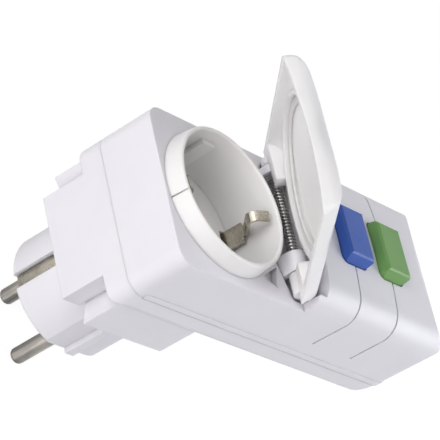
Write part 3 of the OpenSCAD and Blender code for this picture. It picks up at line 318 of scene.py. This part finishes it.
def moulding(name, colour, deep, worn, rough, grain=2600.0, depth=0.06, edge=0.3 * mm,
             soft=0.0, reach=2.0 * mm, shine=0.5, crease_shading=0.6):
    """Moulded plastic: colour that drifts a little, fine grain, rubbed edges, faint smudges and
    painted shade in corners and seams. Where it is soft, light goes into it as far as reach."""
    tree, shader = blank(name)
    surface = place_effect(tree, skin, grain_scale=grain, grain_depth=depth, edge_radius=edge)
    rubbed = place_effect(tree, wear)
    touched = place_effect(tree, marks)
    shaded_corners = place_effect(tree, crease_shade)
    body = tint(tree, surface["Tone"], colour, deep)
    body = tint(tree, rubbed["Mask"], body, worn, amount=0.5)
    body = tint(tree, touched["Specks"], body, speck_grey, amount=0.35)
    # Painted shade: corners and seams darkened towards a dim version of the deep colour
    body = tint(tree, shaded_corners["Mask"], body, shade(deep, 0.45), amount=crease_shading)
    gloss = window(tree, surface["Gloss"], low=0.0, high=1.0,
                   to_low=rough - 0.05, to_high=rough + 0.05)
    smudge_dulls = 0.06
    dulled = reckon(tree, "MULTIPLY_ADD", touched["Smudge"], smudge_dulls, gloss)
    for label, value in (("Base Color", body), ("Roughness", dulled),
                         ("Normal", surface["Normal"]),
                         ("Subsurface Weight", soft), ("Subsurface Scale", reach),
                         ("Subsurface Radius", (1.0, 0.95, 0.9)),
                         ("Specular IOR Level", shine)):
        feed(tree, value, shader.inputs[label])


def metal(name, colour, dull, rough, stretch, depth=0.1, turned=0.0, crease_shade_share=0.0):
    """Metal with drawing marks and a little tarnish. A turned piece has fine rings round its
    upright axis, and a piece may have painted shade in its corners."""
    tree, shader = blank(name)
    surface = place_effect(tree, drawn, stretch=stretch, depth=depth)
    rubbed = place_effect(tree, wear, edge_radius=0.2 * mm, break_up=700.0)
    body = tint(tree, surface["Tarnish"], colour, dull)
    body = tint(tree, rubbed["Mask"], body, shade(colour, 1.15), amount=0.7)
    if crease_shade_share:
        # Painted shade: corners darkened towards a dark version of the dull colour
        shaded_corners = place_effect(tree, crease_shade, reach=3.0 * mm)
        body = tint(tree, shaded_corners["Mask"], body, shade(dull, 0.3), amount=crease_shade_share)
    gloss = window(tree, surface["Streak"], low=0.0, high=1.0,
                   to_low=rough - 0.07, to_high=rough + 0.09)
    for label, value in (("Base Color", body), ("Roughness", gloss),
                         ("Normal", surface["Normal"]), ("Metallic", 1.0)):
        feed(tree, value, shader.inputs[label])
    if turned:
        lathe = add(tree, "ShaderNodeTangent", direction_type="RADIAL", axis="Z")
        quarter_turn = 0.25
        for label, value in (("Tangent", lathe.outputs["Tangent"]), ("Anisotropic", turned),
                             ("Anisotropic Rotation", quarter_turn)):
            feed(tree, value, shader.inputs[label])


# How drawing marks are stretched
around_x = (0.08, 1.0, 1.0)
along_y = (1.0, 0.08, 1.0)
along_z = (1.0, 1.0, 0.06)
even = (1.0, 1.0, 1.0)

# Outside and in the socket
moulding("white_housing", colour=(0.78, 0.77, 0.81), deep=(0.755, 0.745, 0.785),
         worn=(0.85, 0.85, 0.87), rough=0.42, soft=0.3)
moulding("white_insert", colour=(0.86, 0.85, 0.845), deep=(0.84, 0.83, 0.825),
         worn=(0.89, 0.885, 0.88), rough=0.36, grain=3200.0, depth=0.04, edge=0.4 * mm,
         soft=0.5, crease_shading=0.4)
moulding("white_lid", colour=(0.865, 0.847, 0.85), deep=(0.845, 0.827, 0.833),
         worn=(0.90, 0.885, 0.885), rough=0.38, grain=3000.0, depth=0.05, edge=0.45 * mm,
         soft=0.85, reach=5.0 * mm, crease_shading=0.25)
moulding("pale_gasket", colour=(0.84, 0.815, 0.81), deep=(0.80, 0.775, 0.77),
         worn=(0.86, 0.84, 0.83), rough=0.55, grain=1800.0, depth=0.1, edge=0.25 * mm,
         soft=0.6, reach=4.0 * mm, crease_shading=0.25)
metal("plain_steel", colour=(0.60, 0.60, 0.61), dull=(0.46, 0.46, 0.47), rough=0.32,
      stretch=around_x)
metal("spring_steel", colour=(0.50, 0.485, 0.47), dull=(0.30, 0.29, 0.28), rough=0.30,
      stretch=even, depth=0.15)
moulding("blue_button", colour=(0.026, 0.096, 0.43), deep=(0.022, 0.084, 0.38),
         worn=(0.10, 0.19, 0.55), rough=0.42, grain=2400.0, depth=0.07, edge=0.35 * mm, shine=0.4)
moulding("green_button", colour=(0.155, 0.335, 0.09), deep=(0.135, 0.295, 0.08),
         worn=(0.26, 0.45, 0.18), rough=0.42, grain=2400.0, depth=0.07, edge=0.35 * mm, shine=0.4)
metal("nickel_pin", colour=(0.56, 0.53, 0.495), dull=(0.46, 0.43, 0.39), rough=0.37,
      stretch=along_z, depth=0.04, turned=0.95)
# The contacts carry painted shade in their corners
metal("nickel_contact", colour=(0.53, 0.495, 0.42), dull=(0.35, 0.32, 0.245), rough=0.26,
      stretch=even, crease_shade_share=0.8)

# Inside the housing
metal("brass", colour=(0.55, 0.44, 0.22), dull=(0.36, 0.28, 0.15), rough=0.34, stretch=along_z)
moulding("board_green", colour=(0.03, 0.16, 0.07), deep=(0.02, 0.12, 0.05),
         worn=(0.2, 0.26, 0.12), rough=0.4, grain=900.0, depth=0.12, edge=0.15 * mm)
moulding("core_grey", colour=(0.12, 0.12, 0.125), deep=(0.09, 0.09, 0.095),
         worn=(0.2, 0.2, 0.2), rough=0.55, grain=1500.0, depth=0.2)
metal("winding_varnish", colour=(0.48, 0.18, 0.07), dull=(0.34, 0.11, 0.04), rough=0.35,
      stretch=along_y, depth=0.4)
moulding("dark_moulding", colour=(0.045, 0.046, 0.05), deep=(0.035, 0.036, 0.04),
         worn=(0.11, 0.11, 0.115), rough=0.45, grain=2000.0, depth=0.1, edge=0.25 * mm)
moulding("ivory_moulding", colour=(0.70, 0.66, 0.53), deep=(0.66, 0.61, 0.48),
         worn=(0.77, 0.73, 0.62), rough=0.42, grain=2000.0, depth=0.08, edge=0.25 * mm)
moulding("component_tan", colour=(0.50, 0.34, 0.18), deep=(0.44, 0.29, 0.15),
         worn=(0.6, 0.45, 0.28), rough=0.4, grain=1500.0, depth=0.1, edge=0.2 * mm)
moulding("component_blue", colour=(0.06, 0.14, 0.30), deep=(0.05, 0.11, 0.25),
         worn=(0.16, 0.25, 0.4), rough=0.34, grain=1500.0, depth=0.06, edge=0.25 * mm)
moulding("component_orange", colour=(0.62, 0.22, 0.03), deep=(0.55, 0.18, 0.02),
         worn=(0.7, 0.35, 0.12), rough=0.4, grain=1500.0, depth=0.1)


def slot_of(node):
    """The record's material slot of a CAD node, from the material that the frame gave it."""
    return node.material_slots[0].material.name.split(".")[0]


for node in nodes.values():
    for place in node.material_slots:
        place.material = finish[slot_of(node)]


# Pieces: ways to shape a mesh by hand

straight = 0.9      # a face looks straight up or down from this share of its normal


def alone(piece):
    """Makes the piece the active one, with nothing else selected."""
    bpy.ops.object.select_all(action="DESELECT")
    piece.select_set(True)
    bpy.context.view_layer.objects.active = piece


def start_from(primitive, **sizes):
    """A new primitive in edit mode at its size and place, with nothing else selected."""
    bpy.ops.object.select_all(action="DESELECT")
    primitive(**sizes)
    piece = bpy.context.active_object
    into_edit(piece)
    return piece


def into_edit(piece):
    """The piece alone in edit mode, with all of it selected."""
    alone(piece)
    bpy.ops.object.mode_set(mode="EDIT")
    bpy.ops.mesh.select_all(action="SELECT")


def out_of_edit():
    """Back to whole pieces."""
    bpy.ops.object.mode_set(mode="OBJECT")


def pick(piece, wanted):
    """Selects, in edit mode, the vertices whose place is wanted and what lies between them."""
    bpy.ops.mesh.select_mode(type="VERT")
    bpy.ops.mesh.select_all(action="DESELECT")
    out_of_edit()
    for vertex in piece.data.vertices:
        vertex.select = wanted(vertex.co)
    bpy.ops.object.mode_set(mode="EDIT")
    bpy.ops.mesh.select_mode(type="VERT")


def pick_faces(piece, wanted):
    """Selects, in edit mode, the faces that are wanted."""
    bpy.ops.mesh.select_mode(type="FACE")
    bpy.ops.mesh.select_all(action="DESELECT")
    out_of_edit()
    for face in piece.data.polygons:
        face.select = wanted(face)
    bpy.ops.object.mode_set(mode="EDIT")


def pick_top(piece):
    """Selects, in edit mode, the faces that look up."""
    pick_faces(piece, lambda face: face.normal.z > straight)


def pick_bottom(piece, level):
    """Selects, in edit mode, the faces that look down and lie below a level."""
    pick_faces(piece, lambda face: face.normal.z < -straight and face.center.z < level)


def pull(step):
    """Extrudes what is selected by a step."""
    bpy.ops.mesh.extrude_region_move(TRANSFORM_OT_translate={"value": step})


def swing(degrees, axis, centre):
    """Turns what is selected about an axis through a centre."""
    bpy.ops.transform.rotate(value=math.radians(degrees), orient_axis=axis, center_override=centre)


def apply_last(piece):
    """Applies the modifier that was added last."""
    alone(piece)
    bpy.ops.object.modifier_apply(modifier=piece.modifiers[-1].name)


def round_edges(piece, width, segments, sharper):
    """Rounds the edges that bend by more than an angle."""
    edges = piece.modifiers.new("edges", "BEVEL")
    edges.width = width
    edges.segments = segments
    edges.limit_method = "ANGLE"
    edges.angle_limit = math.radians(sharper)
    apply_last(piece)


def copy_of(piece, shift):
    """A copy of the piece with its own mesh, moved by shift."""
    alone(piece)
    bpy.ops.object.duplicate_move(TRANSFORM_OT_translate={"value": shift})
    return bpy.context.selected_objects[0]


def hand_over(piece, name, slot, node, sharp=40, rides=True):
    """Names the piece, sets it at the origin with its faces outwards, and lets it stand for a CAD
    node. It rides on the housing unless rides is false; then it is left on no body."""
    into_edit(piece)
    bpy.ops.mesh.normals_make_consistent(inside=False)
    out_of_edit()
    bpy.ops.object.transform_apply(location=True, rotation=True, scale=True)
    bpy.ops.object.shade_smooth_by_angle(angle=math.radians(sharp))
    piece.name = name
    piece.data.materials.clear()
    piece.data.materials.append(finish[slot])
    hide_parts(node)
    if rides:
        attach(piece, "housing")


# Pieces: springs

wire_sides = 12
steps_per_turn = 24


def wind(middle, start, wire, axis, degrees, advance):
    """A round wire wound about an axis through middle: its section is set at start and turned by
    a Screw modifier."""
    piece = start_from(bpy.ops.mesh.primitive_circle_add,
                       vertices=wire_sides, radius=wire / 2, location=middle)
    if axis == "Z":
        swing(90, "X", middle)
    bpy.ops.transform.translate(value=start)
    out_of_edit()
    turns = piece.modifiers.new("wind", "SCREW")
    turns.axis = axis
    turns.angle = math.radians(degrees)
    turns.screw_offset = advance
    turns.steps = turns.render_steps = round(steps_per_turn * abs(degrees) / 360)
    apply_last(piece)
    return piece


def draw_out(piece, end, wire, reach):
    """Pulls the open end of a wire that lies at end on in a straight line."""
    round_the_end = 0.6 * wire
    into_edit(piece)
    pick(piece, lambda place: (place - end).length < round_the_end)
    pull(reach)
    out_of_edit()


def close_ends(piece):
    """Caps both ends of a wire."""
    into_edit(piece)
    bpy.ops.mesh.select_mode(type="EDGE")
    bpy.ops.mesh.select_all(action="DESELECT")
    bpy.ops.mesh.select_non_manifold()
    bpy.ops.mesh.fill_holes(sides=wire_sides)
    out_of_edit()


def make_lid_spring(wire, radius, turns):
    """The close coil on the hinge pin, with one leg in the trough and one under the lid's roof at
    the hinge's upper limit. The real coil twists as the lid turns; this one is wound once and stays."""
    hinge = joints["lid_hinge"]
    axis = Vector(hinge["pos_m"])
    opened = hinge["range_deg"][1]
    low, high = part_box("lid_spring")
    first = Vector((low.x + wire / 2, axis.y, axis.z))
    start = Vector((0.0, -radius, 0.0))
    length = high.x - low.x - wire
    piece = wind(first, start, wire, "X", -(360 * turns + opened), length)
    draw_out(piece, start, wire, (0.0, 0.0, low.z - axis.z))
    lift = math.radians(opened)
    last = Vector((length, -radius * math.cos(lift), radius * math.sin(lift)))
    along = Vector((0.0, math.sin(lift), math.cos(lift)))
    tip_y = high.y - axis.y - wire / 2 * math.cos(lift)
    draw_out(piece, last, wire, along * (tip_y - last.y) / along.y)
    close_ends(piece)
    hand_over(piece, "wound_lid_spring", "spring_steel", "lid_spring", rides=False)
    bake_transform(piece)


def make_upright_spring(node, turns, wire=0.6 * mm):
    """A compression spring at its CAD height; the real one flattens as its button goes down, this
    one keeps its length.
    """
    low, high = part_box(node)
    radius = (high.x - low.x - wire) / 2
    middle = Vector(((low.x + high.x) / 2, (low.y + high.y) / 2, low.z + wire / 2))
    rise = high.z - low.z - wire
    piece = wind(middle, (radius, 0.0, 0.0), wire, "Z", 360 * turns, rise)
    close_ends(piece)
    hand_over(piece, "wound_" + node, "spring_steel", node)
    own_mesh(piece)


# Wires and windings are those of the CAD springs
make_lid_spring(wire=0.5 * mm, radius=1.4 * mm, turns=24)
make_upright_spring("test_return_spring", 4)
make_upright_spring("reset_return_spring", 4)
make_upright_spring("carrier_spring", 5)


# Pieces: housing screws

def screw_places():
    """Where the CAD screws stand, seen from above."""
    cad = nodes["housing_screws"]
    points = [cad.matrix_world @ vertex.co for vertex in cad.data.vertices]
    low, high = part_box("housing_screws")
    half_way = (low.y + high.y) / 2
    places = []
    for right in (False, True):
        for back in (False, True):
            own = [p for p in points if (p.x > 0) == right and (p.y > half_way) == back]
            across, along = [p.x for p in own], [p.y for p in own]
            places.append(Vector(((min(across) + max(across)) / 2,
                                  (min(along) + max(along)) / 2)))
    return places


def make_cross(middle, deep):
    """The body that a cross driver leaves: two tapered wings at right angles."""
    wing, thick = 2.7 * mm, 0.75 * mm
    taper = (0.5, 0.7, 1.0)
    cross = []
    for quarter in (0, 90):
        blade = start_from(bpy.ops.mesh.primitive_cube_add, size=1.0, location=middle)
        bpy.ops.transform.resize(value=(wing, thick, 2 * deep), center_override=middle)
        pick_top(blade)
        bpy.ops.transform.resize(value=taper, center_override=middle)
        bpy.ops.mesh.select_all(action="SELECT")
        swing(quarter, "Z", middle)
        out_of_edit()
        cross.append(blade)
    return cross


def make_screw(place, low, high):
    """One screw with its head down: bevelled head, cross recess, then the shank and its point."""
    head_r, head_t, head_round = 2.5 * mm, 1.8 * mm, 0.5 * mm
    shank_r, point_share = 1.4 * mm, 0.25
    recess = 0.9 * mm
    middle = Vector((place.x, place.y, low.z + head_t / 2))
    screw = start_from(bpy.ops.mesh.primitive_cylinder_add,
                       vertices=40, radius=head_r, depth=head_t, location=middle)
    pick_top(screw)
    bpy.ops.mesh.inset(thickness=head_r - shank_r)
    pull((0.0, 0.0, high.z - low.z - head_t - shank_r))
    pull((0.0, 0.0, shank_r))
    bpy.ops.transform.resize(value=(point_share, point_share, 1.0),
                             center_override=(middle.x, middle.y, high.z))
    pick_bottom(screw, -0.4 * head_t)
    bpy.ops.mesh.bevel(offset=head_round, segments=3, affect="EDGES")
    out_of_edit()
    for blade in make_cross(Vector((middle.x, middle.y, low.z)), recess):
        carve = screw.modifiers.new("carve", "BOOLEAN")
        carve.operation = "DIFFERENCE"
        carve.object = blade
        apply_last(screw)
        bpy.data.objects.remove(blade)
    return screw


def make_screws():
    """Four screws: the first is modelled, the others are copies at the other places."""
    low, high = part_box("housing_screws")
    places = screw_places()
    first = make_screw(places[0], low, high)
    row = [first]
    for place in places[1:]:
        row.append(copy_of(first, (place.x - places[0].x, place.y - places[0].y, 0.0)))
    for count, screw in enumerate(row, start=1):
        hand_over(screw, f"housing_screw_{count}", "plain_steel", "housing_screws", sharp=30)


make_screws()


# Pieces: plug pins

def make_pin(low, high):
    """One turned pin with its tip down: blunt rounded tip, shank in the plug, seat flange and
    tail."""
    pin_r, shank_r, flange_r, tail_r = 2.4 * mm, 3.0 * mm, 3.9 * mm, 1.5 * mm
    seat_z, flange_t = 22.5 * mm, 1.8 * mm
    tip_round = 1.3 * mm
    length = -low.z
    middle = Vector(((low.x + high.x) / 2, (low.y + high.y) / 2, low.z / 2))
    pin = start_from(bpy.ops.mesh.primitive_cylinder_add,
                     vertices=48, radius=pin_r, depth=length, location=middle)
    pick_top(pin)
    for growth, rise in ((shank_r / pin_r, seat_z), (flange_r / shank_r, flange_t),
                         (tail_r / flange_r, high.z - seat_z - flange_t)):
        pull((0.0, 0.0, 0.0))
        bpy.ops.transform.resize(value=(growth, growth, 1.0), center_override=middle)
        pull((0.0, 0.0, rise))
    pick_bottom(pin, -0.4 * length)
    bpy.ops.mesh.bevel(offset=tip_round, segments=6, affect="EDGES")
    out_of_edit()
    return pin


def make_pins():
    """Both pins: the line pin is modelled, the neutral one is its copy."""
    low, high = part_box("line_pin")
    other_low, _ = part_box("neutral_pin")
    line = make_pin(low, high)
    neutral = copy_of(line, (other_low.x - low.x, 0.0, 0.0))
    hand_over(line, "turned_line_pin", "nickel_pin", "line_pin")
    hand_over(neutral, "turned_neutral_pin", "nickel_pin", "neutral_pin")


make_pins()


# Pieces: earth strap

def make_earth_strap():
    """The plug's earth strap: a straight face in each side recess, necks through the plug base,
    and a bridge."""
    low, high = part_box("plug_earth_strap")
    thick = 0.8 * mm
    face_y, neck_y = 16.5 * mm, 15.1 * mm
    foot_z, bend_z, neck_z = 0.5 * mm, 13.5 * mm, 16.6 * mm
    bridge_z = high.z - thick / 2
    origin = (0.0, 0.0, 0.0)
    strap = start_from(bpy.ops.mesh.primitive_plane_add, size=1.0)
    swing(90, "X", origin)
    bpy.ops.transform.resize(value=(high.x - low.x, 1.0, bend_z - foot_z), center_override=origin)
    bpy.ops.transform.translate(value=(0.0, -face_y, (bend_z + foot_z) / 2))
    pick(strap, lambda place: place.z > bend_z - 0.1 * mm)
    inward, up, rise = face_y - neck_y, neck_z - bend_z, bridge_z - neck_z
    for step in ((inward, up), (0.0, rise), (2 * neck_y, 0.0),
                 (0.0, -rise), (inward, -up), (0.0, foot_z - bend_z)):
        pull((0.0, *step))
    out_of_edit()
    round_edges(strap, width=0.9 * mm, segments=4, sharper=15)
    sheet = strap.modifiers.new("sheet", "SOLIDIFY")
    sheet.thickness = thick
    sheet.offset = 0.0
    sheet.use_even_offset = True
    apply_last(strap)
    round_edges(strap, width=0.12 * mm, segments=2, sharper=60)
    hand_over(strap, "bent_earth_strap", "nickel_contact", "plug_earth_strap")


make_earth_strap()


# Studio

aim = Vector((-15.03, 30.03, 38.59)) * mm
view_azimuth = math.radians(32.84)
view_elevation = math.radians(28.24)
view_roll = math.radians(59.81)
view_distance = 630 * mm
view_lens = 182.41
lamp_size = 0.6
floor_size = 6.0
floor_glow = 0.86       # with its own light on it, the floor comes out white where it is seen
shadow_glow = 0.02      # painted shadow: what a mirror sees of the floor right under the object
shadow_reach = 0.12
fill_light = 0.28
white = (1.0, 1.0, 1.0, 1.0)


def set_camera():
    """The photograph's view: from the socket end, above the long side, with the housing rolled in
    the picture."""
    back = Vector((math.sin(view_azimuth) * math.cos(view_elevation),
                   -math.cos(view_azimuth) * math.cos(view_elevation),
                   math.sin(view_elevation)))
    camera = bpy.data.objects.new("camera", bpy.data.cameras.new("camera"))
    bpy.context.scene.collection.objects.link(camera)
    camera.data.sensor_width = 36.0
    camera.data.lens = view_lens
    camera.data.clip_start = 0.05
    camera.data.clip_end = 20.0
    facing = (-back).to_track_quat("-Z", "Y").to_matrix().to_4x4()
    camera.matrix_world = (Matrix.Translation(aim + view_distance * back)
                           @ (facing @ Matrix.Rotation(view_roll, 4, "Z")))
    bpy.context.scene.camera = camera


def softbox(name, place, watts, colour):
    """A square area lamp that looks at the object."""
    lamp = bpy.data.lights.new(name, "AREA")
    lamp.shape = "SQUARE"
    lamp.size = lamp_size
    lamp.energy = watts
    lamp.color = colour
    holder = bpy.data.objects.new(name, lamp)
    bpy.context.scene.collection.objects.link(holder)
    holder.location = place
    holder.rotation_mode = "QUATERNION"
    holder.rotation_quaternion = (aim - Vector(place)).to_track_quat("-Z", "Y")


def ray(tree, kind):
    """One where a ray is of a kind, else nought."""
    return tree.nodes.new("ShaderNodeLightPath").outputs[f"Is {kind} Ray"]


def seen_directly(tree):
    """One where a ray comes from the camera, a mirror or glass, else nought."""
    seen = reckon(tree, "MAXIMUM", ray(tree, "Camera"), ray(tree, "Glossy"))
    return reckon(tree, "MAXIMUM", seen, ray(tree, "Transmission"))


def either(tree, choice, first, second):
    """The first shader where the choice is nought, the second where it is one."""
    node = tree.nodes.new("ShaderNodeMixShader")
    for source, socket in zip((choice, first, second), node.inputs):
        tree.links.new(source, socket)
    return node.outputs["Shader"]


def matt_grey(tree, level):
    """A plain grey shader."""
    return add(tree, "ShaderNodeBsdfDiffuse", {"Color": (level, level, level, 1.0)}).outputs["BSDF"]


def lay_floor():
    """A wide pale floor under the pins that looks white, takes the object's shadow and is clear
    from below. Mirrors see a painted shadow on it close to the object."""
    bpy.ops.object.select_all(action="DESELECT")
    bpy.ops.mesh.primitive_plane_add(size=floor_size, location=(0.0, 0.0, cad_low.z))
    floor = bpy.context.active_object
    floor.name = "floor"
    bpy.ops.object.transform_apply(location=True, rotation=True, scale=True)
    material = bpy.data.materials.new("studio_floor")
    tree = bare_tree(material)
    # Painted shadow: occlusion near the object dims the glow that mirrors see
    open_sky = add(tree, "ShaderNodeAmbientOcclusion", {"Distance": shadow_reach}, samples=8)
    mirrored = window(tree, open_sky.outputs["AO"], low=0.6, high=0.95,
                      to_low=shadow_glow, to_high=floor_glow)
    strength = add(tree, "ShaderNodeMix", data_type="FLOAT")
    in_mirror, in_view, mixed = strength.inputs[2], strength.inputs[3], strength.outputs[0]
    tree.links.new(ray(tree, "Camera"), strength.inputs["Factor"])
    tree.links.new(mirrored, in_mirror)
    in_view.default_value = floor_glow
    glow = add(tree, "ShaderNodeEmission", {"Color": white})
    tree.links.new(mixed, glow.inputs["Strength"])
    lit = tree.nodes.new("ShaderNodeAddShader")
    tree.links.new(matt_grey(tree, 0.22), lit.inputs[0])
    tree.links.new(glow.outputs["Emission"], lit.inputs[1])
    upper = either(tree, seen_directly(tree), matt_grey(tree, 0.8), lit.outputs["Shader"])
    from_below = tree.nodes.new("ShaderNodeNewGeometry").outputs["Backfacing"]
    clear = tree.nodes.new("ShaderNodeBsdfTransparent").outputs["BSDF"]
    output = tree.nodes.new("ShaderNodeOutputMaterial")
    tree.links.new(either(tree, from_below, upper, clear), output.inputs["Surface"])
    floor.data.materials.append(material)


def set_world():
    """White where it is seen, and a low even light on the object."""
    world = bpy.data.worlds.new("studio")
    bpy.context.scene.world = world
    tree = bare_tree(world)
    fill = add(tree, "ShaderNodeBackground",
               {"Color": (0.97, 0.98, 1.0, 1.0), "Strength": fill_light})
    seen = add(tree, "ShaderNodeBackground", {"Color": white, "Strength": 1.0})
    output = tree.nodes.new("ShaderNodeOutputWorld")
    tree.links.new(either(tree, seen_directly(tree), fill.outputs["Background"],
                          seen.outputs["Background"]), output.inputs["Surface"])


set_camera()
lay_floor()
set_world()
softbox("over_the_end", place=(-0.15, -0.85, 0.45), watts=4.2, colour=(1.0, 0.99, 0.99))
softbox("low_corner", place=(0.55, -0.8, 0.12), watts=4.9, colour=(1.0, 0.98, 0.96))
softbox("button_end", place=(0.3, 0.8, 0.5), watts=4.8, colour=(0.95, 0.96, 1.0))
softbox("over_the_side", place=(0.4, 0.25, 0.85), watts=0.8, colour=(0.95, 0.96, 1.0))

bpy.context.scene.view_settings.view_transform = "Standard"
